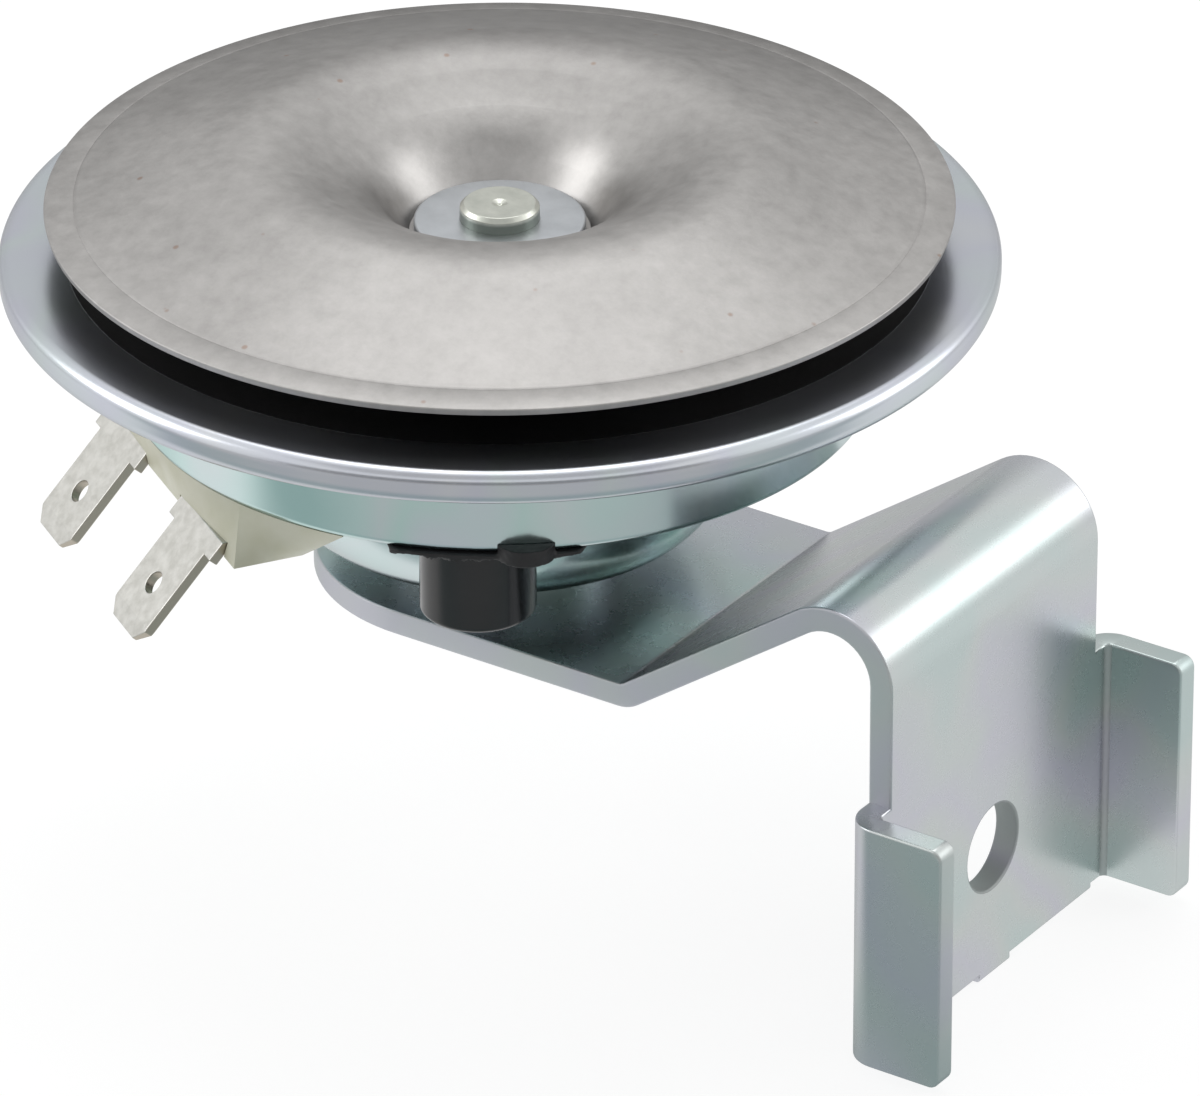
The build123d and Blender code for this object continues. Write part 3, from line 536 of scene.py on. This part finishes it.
def smooth_outward(mesh, finish, least_sharp=sharp_turn):
    """Give a mesh one finish, turn its faces outward and shade it smoothly between sharp edges."""
    mesh.materials.clear()
    mesh.materials.append(finish)
    mesh.polygons.foreach_set("material_index", [0] * len(mesh.polygons))
    work = bmesh.new()
    work.from_mesh(mesh)
    bmesh.ops.recalc_face_normals(work, faces=work.faces)
    work.to_mesh(mesh)
    work.free()
    mesh.shade_smooth()
    mesh.set_sharp_from_angle(angle=least_sharp)


def apply_modifiers(piece):
    """Turn what the modifiers make of a piece into its own mesh."""
    seen = piece.evaluated_get(bpy.context.evaluated_depsgraph_get())
    piece.data = bpy.data.meshes.new_from_object(seen)
    piece.modifiers.clear()


def spin(name, points, finish, centre=horn_axis, steps=240):
    """A round piece from its outline of (radius, height in the horn), in millimetres."""
    line = bpy.data.meshes.new(name + " outline")
    places = [(mm(radius), 0, mm(rim_height + height)) for radius, height in points]
    line.from_pydata(places, [], [])
    guide = in_scene(name + " outline", line)
    piece = in_scene(name, bpy.data.meshes.new(name))
    work = piece.modifiers.new("lathe", "NODES")
    work.node_group = lathe
    sockets = [item for item in lathe.interface.items_tree if item.in_out == "INPUT"]
    inputs = {socket.name: socket.identifier for socket in sockets}
    work[inputs["Outline"]] = guide
    work[inputs["Steps round"]] = steps
    work[inputs["Centre"]] = centre
    work[inputs["Finish"]] = finish
    apply_modifiers(piece)
    bpy.data.objects.remove(guide)
    smooth_outward(piece.data, finish)
    print(name, "faces:", len(piece.data.polygons))
    return piece


# %% [markdown]
# ## The round pieces
# The heights and radii are those of the CAD, with the small roundings added.

# %% Tone disc, with the fine groove that the press's ring leaves near its rim
def scored(points, radius, width, depth):
    """An outline with a V groove cut into its upper side at a radius."""
    cut_points = []
    for index, here in enumerate(points):
        cut_points.append(here)
        ahead = points[(index + 1) % len(points)]
        if here.x < radius - width / 2 and ahead.x > radius + width / 2:
            for offset, sink in ((-width / 2, 0), (0, depth), (width / 2, 0)):
                share = (radius + offset - here.x) / (ahead.x - here.x)
                cut_points.append(here.lerp(ahead, share) - Vector((0, sink)))
    return cut_points


tone_line = rounded([
    (3.05, -2.9, 0), (7.05, -2.9, 0.4), (9.9, 0.95, 9.0), (17.9, 5.05, 8.0),
    (31.7, 0.38, 4.0), (34.5, -0.3, 0),
], closed=False)
tone_outline = scored(sheet_round(tone_line, 0.6, 0.12), 32.3, 0.3, 0.07)
tone_piece = spin("tone_disc_sheet", tone_outline, dull_aluminium, steps=360)
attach(tone_piece, "vibrator")
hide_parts("tone_disc")

# %% Cover ring, crimped over the bowl's flange
ring_piece = spin("cover_ring_crimped", rounded([
    (33.0, -3.6, 0.15), (38.1, -3.6, 1.0), (38.1, -6.3, 1.1), (35.8, -6.3, 0.15),
    (35.8, -5.7, 0), (37.5, -5.7, 0), (37.5, -4.2, 0), (33.0, -4.2, 0.15),
]), ring_zinc, steps=360)
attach(ring_piece, "case")
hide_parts("cover_ring")

# %% Bowl, with the holes that its fittings pass through
inner_wall = bowl_corner - bowl_sheet
inner_floor = bowl_bottom + bowl_sheet
bowl_piece = spin("bowl_pressed", rounded([
    (3.15, -26.5, 0.1), (17.6, -26.5, 4.9), (17.6, bowl_bottom, 0.8),
    (bowl_corner, bowl_bottom, 0.6), (bowl_corner, -5.7, 0.8), (37.4, -5.7, 0.1),
    (37.4, -4.9, 0.1), (inner_wall, -4.9, 1.7), (inner_wall, inner_floor, 0.3),
    (16.7, inner_floor, 1.7), (16.7, -25.6, 4.0), (3.15, -25.6, 0.1),
]), bowl_zinc, steps=360)
sheet_middle = bowl_bottom + bowl_sheet / 2
punch_depth = mm(2)
punch = bmesh.new()
# The adjuster's hole, the block's two bosses and the breaker's two rivets.
for azimuth, reach, side, radius in (
    (adjuster_azimuth, adjuster_reach, 0, 3.0),
    (block_azimuth, 22.5, 7.95, 2.6), (block_azimuth, 22.5, -7.95, 2.6),
    (adjuster_azimuth, 15.59, 15.87, 1.1), (adjuster_azimuth, 18.59, 15.87, 1.1),
):
    turn = radians(azimuth)
    sideways = Vector((-sin(turn), cos(turn), 0))
    spot = in_horn(reach, azimuth, sheet_middle) + mm(side) * sideways
    bmesh.ops.create_cone(
        punch, cap_ends=True, segments=48, radius1=mm(radius), radius2=mm(radius),
        depth=punch_depth, matrix=Matrix.Translation(spot),
    )
punch_mesh = bpy.data.meshes.new("punches")
punch.to_mesh(punch_mesh)
punch.free()
punches = in_scene("punches", punch_mesh)
holes = bowl_piece.modifiers.new("holes", "BOOLEAN")
holes.object = punches
holes.operation = "DIFFERENCE"
apply_modifiers(bowl_piece)
bpy.data.objects.remove(punches)
smooth_outward(bowl_piece.data, bowl_zinc)
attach(bowl_piece, "case")
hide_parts("housing")
print("bowl faces:", len(bowl_piece.data.polygons))

# %% Armature with its peened pin, washer and adjuster cap
pin_piece = spin("armature_pin", rounded([
    (0, -15.6, 0), (6.0, -15.6, 0.2), (6.0, -7.6, 0), (8.5, -7.6, 0.1), (8.5, -4.7, 0.1),
    (4.0, -4.7, 0), (4.0, -3.2, 0), (3.05, -3.2, 0), (3.05, -0.62, 0.12), (2.73, -0.3, 0.12),
    (0.6, -0.3, 0.3), (0.2, -0.5, 0.15), (0, -0.7, 0),
]), peened_iron, steps=120)
washer_piece = spin("washer_under_pin", rounded([
    (3.06, -2.6, 0), (6.55, -2.6, 0.1), (6.55, -1.6, 0.18), (3.06, -1.6, 0),
]), washer_steel, steps=160)
cap_piece = spin("cap_over_adjuster", rounded([
    (0, -23.0, 0), (4.4, -23.0, 0.4), (4.4, -15.5, 0.05), (3.0, -15.5, 0), (3.0, -17.8, 0),
    (3.4, -17.8, 0), (3.4, -21.8, 0.2), (0, -21.8, 0),
]), black_cap, centre=in_horn(adjuster_reach, adjuster_azimuth, -rim_height), steps=160)
for piece, body, node, slot in (
    (pin_piece, "vibrator", "armature", "bright_steel"),
    (washer_piece, "vibrator", "tone_washer", "zinc_steel"),
    (cap_piece, "case", "adjuster_cap", "black_plastic"),
):
    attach(piece, body)
    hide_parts(node)

# %% [markdown]
# ## Softened edges
# The bracket and the blades keep their CAD shapes, but a sheared edge is never a knife
# edge. A copy of each mesh gets its outer edges rounded, and weighted normals keep the
# wide faces flat in spite of the smooth shading. The block goes the same way. Its short
# edges clamp the rounding to almost nothing, so in practice its edges stay crisp.

# %% Softened copies
weld = mm(0.002)
flat_turn = radians(0.5)
softened_turn = radians(35)


def merged(mesh):
    """A CAD mesh as bmesh, its loose triangles joined and flat runs made one face."""
    work = bmesh.new()
    work.from_mesh(mesh)
    bmesh.ops.remove_doubles(work, verts=work.verts, dist=weld)
    bmesh.ops.dissolve_limit(work, angle_limit=flat_turn, verts=work.verts, edges=work.edges)
    return work


def softened(name, node, edge, finish, is_cut=None, shape=None, least_sharp=sharp_turn):
    """A copy of a CAD piece with its outer edges rounded to a radius in millimetres."""
    mesh = nodes[node].data.copy()
    mesh.name = name
    for layer in list(mesh.attributes):
        if layer.name == "custom_normal":
            mesh.attributes.remove(layer)
    work = merged(mesh)
    if shape:
        shape(work)
    outer = [line for line in work.edges if line.is_convex and len(line.link_faces) == 2]
    bmesh.ops.bevel(
        work, geom=[line for line in outer if line.calc_face_angle() > softened_turn],
        offset=mm(edge), offset_type="OFFSET", segments=3, profile=0.5,
        affect="EDGES", clamp_overlap=True,
    )
    bmesh.ops.remove_doubles(work, verts=work.verts, dist=weld)
    many_sided = [face for face in work.faces if len(face.verts) > 4]
    bmesh.ops.triangulate(work, faces=many_sided)
    bmesh.ops.dissolve_degenerate(work, dist=weld / 2, edges=work.edges)
    work.to_mesh(mesh)
    work.free()
    smooth_outward(mesh, finish, least_sharp)
    if is_cut:
        layer = mesh.attributes.new("cut", "FLOAT", "FACE")
        shares = [is_cut(face.center * 1000, face.normal) for face in mesh.polygons]
        layer.data.foreach_set("value", shares)
    piece = in_scene(name, mesh)
    flat_faces = piece.modifiers.new("flat faces stay flat", "WEIGHTED_NORMAL")
    flat_faces.keep_sharp = True
    apply_modifiers(piece)
    print(name, "faces:", len(piece.data.polygons))
    return piece


# %% Bracket and block
strip_half = 14.7
leg_sheet = 2.0
hole_reach = 3.8
tab_bend_start, tab_bend_end = 15, 16.6
tab_bend_reach = 0.6
tab_tip_start = 5.5
leg_end_below = -30


def cut_on_bracket(centre, normal):
    """0 on the bracket's rolled faces, 0.5 on sheared edges, 0.9 in the tabs' inner bends as
    painted shade, 1 in the hole.
    """
    if -leg_sheet < centre.x < 0 and Vector((centre.y, centre.z)).length < hole_reach:
        return 1.0
    # Painted shade: the tabs' inner bends get 0.9, which darkens them in the zinc.
    in_shaded_bend = tab_bend_start < abs(centre.y) < tab_bend_end and 0 < centre.x < tab_bend_reach
    if in_shaded_bend and normal.x > 0.1 and abs(normal.y) > 0.1:
        return 0.9
    strip_side = abs(normal.y) > 0.5 and abs(centre.y) < strip_half and centre.x < 0.1
    half_round = centre.x < -axis_from_face and abs(normal.z) < 0.5
    tab_tip = centre.x > tab_tip_start and normal.x > 0.3
    ends = centre.z < leg_end_below and abs(normal.z) > 0.5
    return 0.5 if strip_side or half_round or tab_tip or ends else 0.0


bracket_piece = softened("bracket_folded", "bracket", 0.3, bracket_zinc, is_cut=cut_on_bracket)
block_piece = softened("block_moulded", "terminal_block", 0.3, ivory_nylon)
for piece, node, slot in (
    (bracket_piece, "bracket", "zinc_steel"), (block_piece, "terminal_block", "ivory_nylon"),
):
    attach(piece, "case")
    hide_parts(node)

# %% [markdown]
# ## Blades
# Each blade is stamped from tinned brass strip, so its cut sides show the bare metal.
# Its tip is thinned on both faces, which leads it into the receptacle.

# %% Blades with thinned tips
block_turn = radians(block_azimuth)
blade_drop = radians(48.75)
outward = Vector((cos(block_turn), sin(block_turn), 0))
blade_run = outward * cos(blade_drop) - Vector((0, 0, sin(blade_drop)))
blade_face = outward * sin(blade_drop) + Vector((0, 0, cos(blade_drop)))
bend = in_horn(27.37, block_azimuth, -18.2)
taper_start = mm(8.6)
taper_length = mm(1.4)
taper_share = 0.4


def thin_the_tip(work):
    """Thin the last stretch of a blade towards its middle plane."""
    start = bend + blade_run * taper_start
    everything = work.verts[:] + work.edges[:] + work.faces[:]
    bmesh.ops.bisect_plane(work, geom=everything, plane_co=start, plane_no=blade_run)
    for vert in work.verts:
        past = (vert.co - start).dot(blade_run) / taper_length
        if past > 0:
            vert.co -= blade_face * (vert.co - bend).dot(blade_face) * taper_share * past


def cut_on_blade(centre, normal):
    """1 on the stamped sides of a blade, 0 on its tinned faces."""
    return 1.0 if abs(normal.dot(blade_face)) < 0.6 and abs(normal.z) < 0.9 else 0.0


for name, node in (("blade_at_front", "terminal_front"), ("blade_at_rear", "terminal_rear")):
    piece = softened(
        name, node, 0.08, tinned, is_cut=cut_on_blade, shape=thin_the_tip,
        least_sharp=radians(4),
    )
    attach(piece, "case")
    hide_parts(node)

# %% [markdown]
# ## Sealing patch
# The seal is a patch of black compound, pressed on by hand, so nothing on it is even.
# The CAD's neat shape is voxel-remeshed, which gives it plenty of small faces, and then
# every point is pushed by noise. What lies against the bowl stays where it is. The noise
# takes its offset from the clock unless it gets a seed, so it gets one.

# %% Seal
lump_size = mm(1.1)
lump_depth = mm(0.32)
small_lumps, small_share = 2.3, 0.5
flattening = 0.5
fade_depth = mm(0.25)
lip_radius = mm(bowl_corner + 0.2)
lip_share = 0.2
lump_seed = 1795468534
seal_mesh = nodes["adjuster_seal"].data.copy()
seal_mesh.name = "seal_pressed_on"
work = merged(seal_mesh)
under_bowl = mm(rim_height + bowl_bottom)
for vert in work.verts:
    if vert.co.z < under_bowl:
        vert.co.z = under_bowl + (vert.co.z - under_bowl) * flattening
work.to_mesh(seal_mesh)
work.free()
seal_piece = in_scene("seal_pressed_on", seal_mesh)
voxels = seal_piece.modifiers.new("voxels", "REMESH")
voxels.mode = "VOXEL"
voxels.voxel_size = mm(0.12)
apply_modifiers(seal_piece)
noise.seed_set(lump_seed)
for vert in seal_piece.data.vertices:
    spot = vert.co / lump_size
    push = noise.noise_vector(spot) + small_share * noise.noise_vector(spot * small_lumps)
    free = min(1.0, max(0.0, (under_bowl - vert.co.z) / fade_depth))
    if (vert.co - horn_axis).xy.length > lip_radius:
        free = lip_share
    vert.co += push * lump_depth * free
smooth_outward(seal_piece.data, black_rubber, least_sharp=radians(80))
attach(seal_piece, "case")
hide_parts("adjuster_seal")
print("seal faces:", len(seal_piece.data.polygons))

# %% [markdown]
# ## Studio
# Bright metal looks like what it mirrors, so the studio matters as much as the finishes.
# The floor is a pale sweep that keeps the shadow and reads as white. One softbox hangs
# well behind the horn, two stand left and right of it and draw the bright bands on the
# throat and the bracket's bend, and grey cards that only reflections see stand for the
# darker room around the table.

# %% Floor
floor_z = cad_box[0][2] - mm(0.02)
half = 6.0
floor_mesh = bpy.data.meshes.new("floor")
floor_corners = [(x * half, y * half, floor_z) for x, y in ((-1, -1), (1, -1), (1, 1), (-1, 1))]
floor_mesh.from_pydata(floor_corners, [], [(0, 1, 2, 3)])
floor = in_scene("floor", floor_mesh)
floor_paper = bpy.data.materials.new("white paper sweep")
floor_paper.use_nodes = True
tree = floor_paper.node_tree
tree.nodes.clear()
rays = add(tree, "ShaderNodeLightPath")
# Seen in the metal, the floor has darker and paler stretches in front of and behind the horn; the
# dark band just in front of the horn is a painted shadow.
toward = Vector((forward.x, forward.y, 0)).normalized()
run = {0: object_place(tree), 1: toward}
depth = add(tree, "ShaderNodeVectorMath", run, operation="DOT_PRODUCT").outputs["Value"]
mirrored = ramp(tree, spread(tree, depth, 0.0, 1.0, mm(-200), mm(300)), [
    (0.10, 0.42), (0.25, 0.40), (0.32, "849495"), (0.36, "849495"), (0.396, 0.80),
    (0.50, 0.80), (1.0, 0.5),
])
glow = mix(tree, rays.outputs["Is Camera Ray"], mirrored, (0.83, 0.83, 0.83, 1))
shade = add(tree, "ShaderNodeBsdfDiffuse", {"Color": (0.26, 0.26, 0.26, 1)})
own = add(tree, "ShaderNodeEmission", {"Color": glow})
both = add(tree, "ShaderNodeAddShader", {0: shade.outputs[0], 1: own.outputs[0]})
add(tree, "ShaderNodeOutputMaterial", {"Surface": both.outputs[0]})
floor_mesh.materials.append(floor_paper)
print("floor at", round(floor_z * 1000, 2), "mm")

# %% World
world = bpy.data.worlds.new("studio")
bpy.context.scene.world = world
world.use_nodes = True
tree = world.node_tree
tree.nodes.clear()
rays = add(tree, "ShaderNodeLightPath")
level = spread(tree, rays.outputs["Is Diffuse Ray"], 1.0, 0.5)
sky = add(tree, "ShaderNodeBackground", {"Color": (1, 1, 1, 1), "Strength": level})
add(tree, "ShaderNodeOutputWorld", {"Surface": sky.outputs[0]})
print("world set")


# %% Softboxes and cards
def aimed(azimuth, elevation, distance):
    """A spot at a direction in degrees from the horn, and the axes of what faces the horn there."""
    turn, rise = radians(azimuth), radians(elevation)
    away = Vector((sin(turn) * cos(rise), -cos(turn) * cos(rise), sin(rise)))
    side = Vector((cos(turn), sin(turn), 0))
    middle = Vector((mm(-25), 0, mm(20)))
    return middle + distance * away, away, side, away.cross(side)


def soft_light(name, azimuth, elevation, distance, size, radiance):
    """A square softbox that faces the horn, as bright as a surface of that radiance."""
    data = bpy.data.lights.new(name, "AREA")
    data.shape = "SQUARE"
    data.size = size
    data.energy = radiance * pi * size ** 2
    lamp = in_scene(name, data)
    spot, away, side, over = aimed(azimuth, elevation, distance)
    axes = Matrix((side, over, away)).transposed().to_4x4()
    lamp.matrix_world = Matrix.Translation(spot) @ axes
    lamp.visible_camera = False


def card(name, azimuth, elevation, distance, width, height, grey):
    """A card that only reflections see, to give bright metal something darker to mirror."""
    spot, _, side, over = aimed(azimuth, elevation, distance)
    across_half, up_half = width / 2 * side, height / 2 * over
    signs = ((-1, -1), (1, -1), (1, 1), (-1, 1))
    mesh = bpy.data.meshes.new(name)
    mesh.from_pydata([spot + x * across_half + y * up_half for x, y in signs], [], [(0, 1, 2, 3)])
    made = in_scene(name, mesh)
    made.visible_camera = False
    made.visible_diffuse = False
    made.visible_shadow = False
    paint = bpy.data.materials.new(name)
    paint.use_nodes = True
    paint.node_tree.nodes.clear()
    glow = add(paint.node_tree, "ShaderNodeEmission", {"Color": (grey, grey, grey, 1)})
    add(paint.node_tree, "ShaderNodeOutputMaterial", {"Surface": glow.outputs[0]})
    mesh.materials.append(paint)


soft_light("overhead softbox, well back", 214, 68, 1.3, 0.75, 1.45)
soft_light("softbox on the left", 297, 31, 1.4, 0.75, 2.3)
soft_light("softbox on the right", 134, 25, 1.4, 0.8, 1.6)
card("grey card behind", 216, 22, 1.5, 3.4, 1.0, 0.76)
card("grey card in front", 34, 10, 2.0, 4.4, 1.0, 0.3)
card("grey card over the camera", 34, 62, 1.6, 1.8, 1.1, 0.6)

# %% Finish
bpy.context.scene.view_settings.view_transform = "Standard"
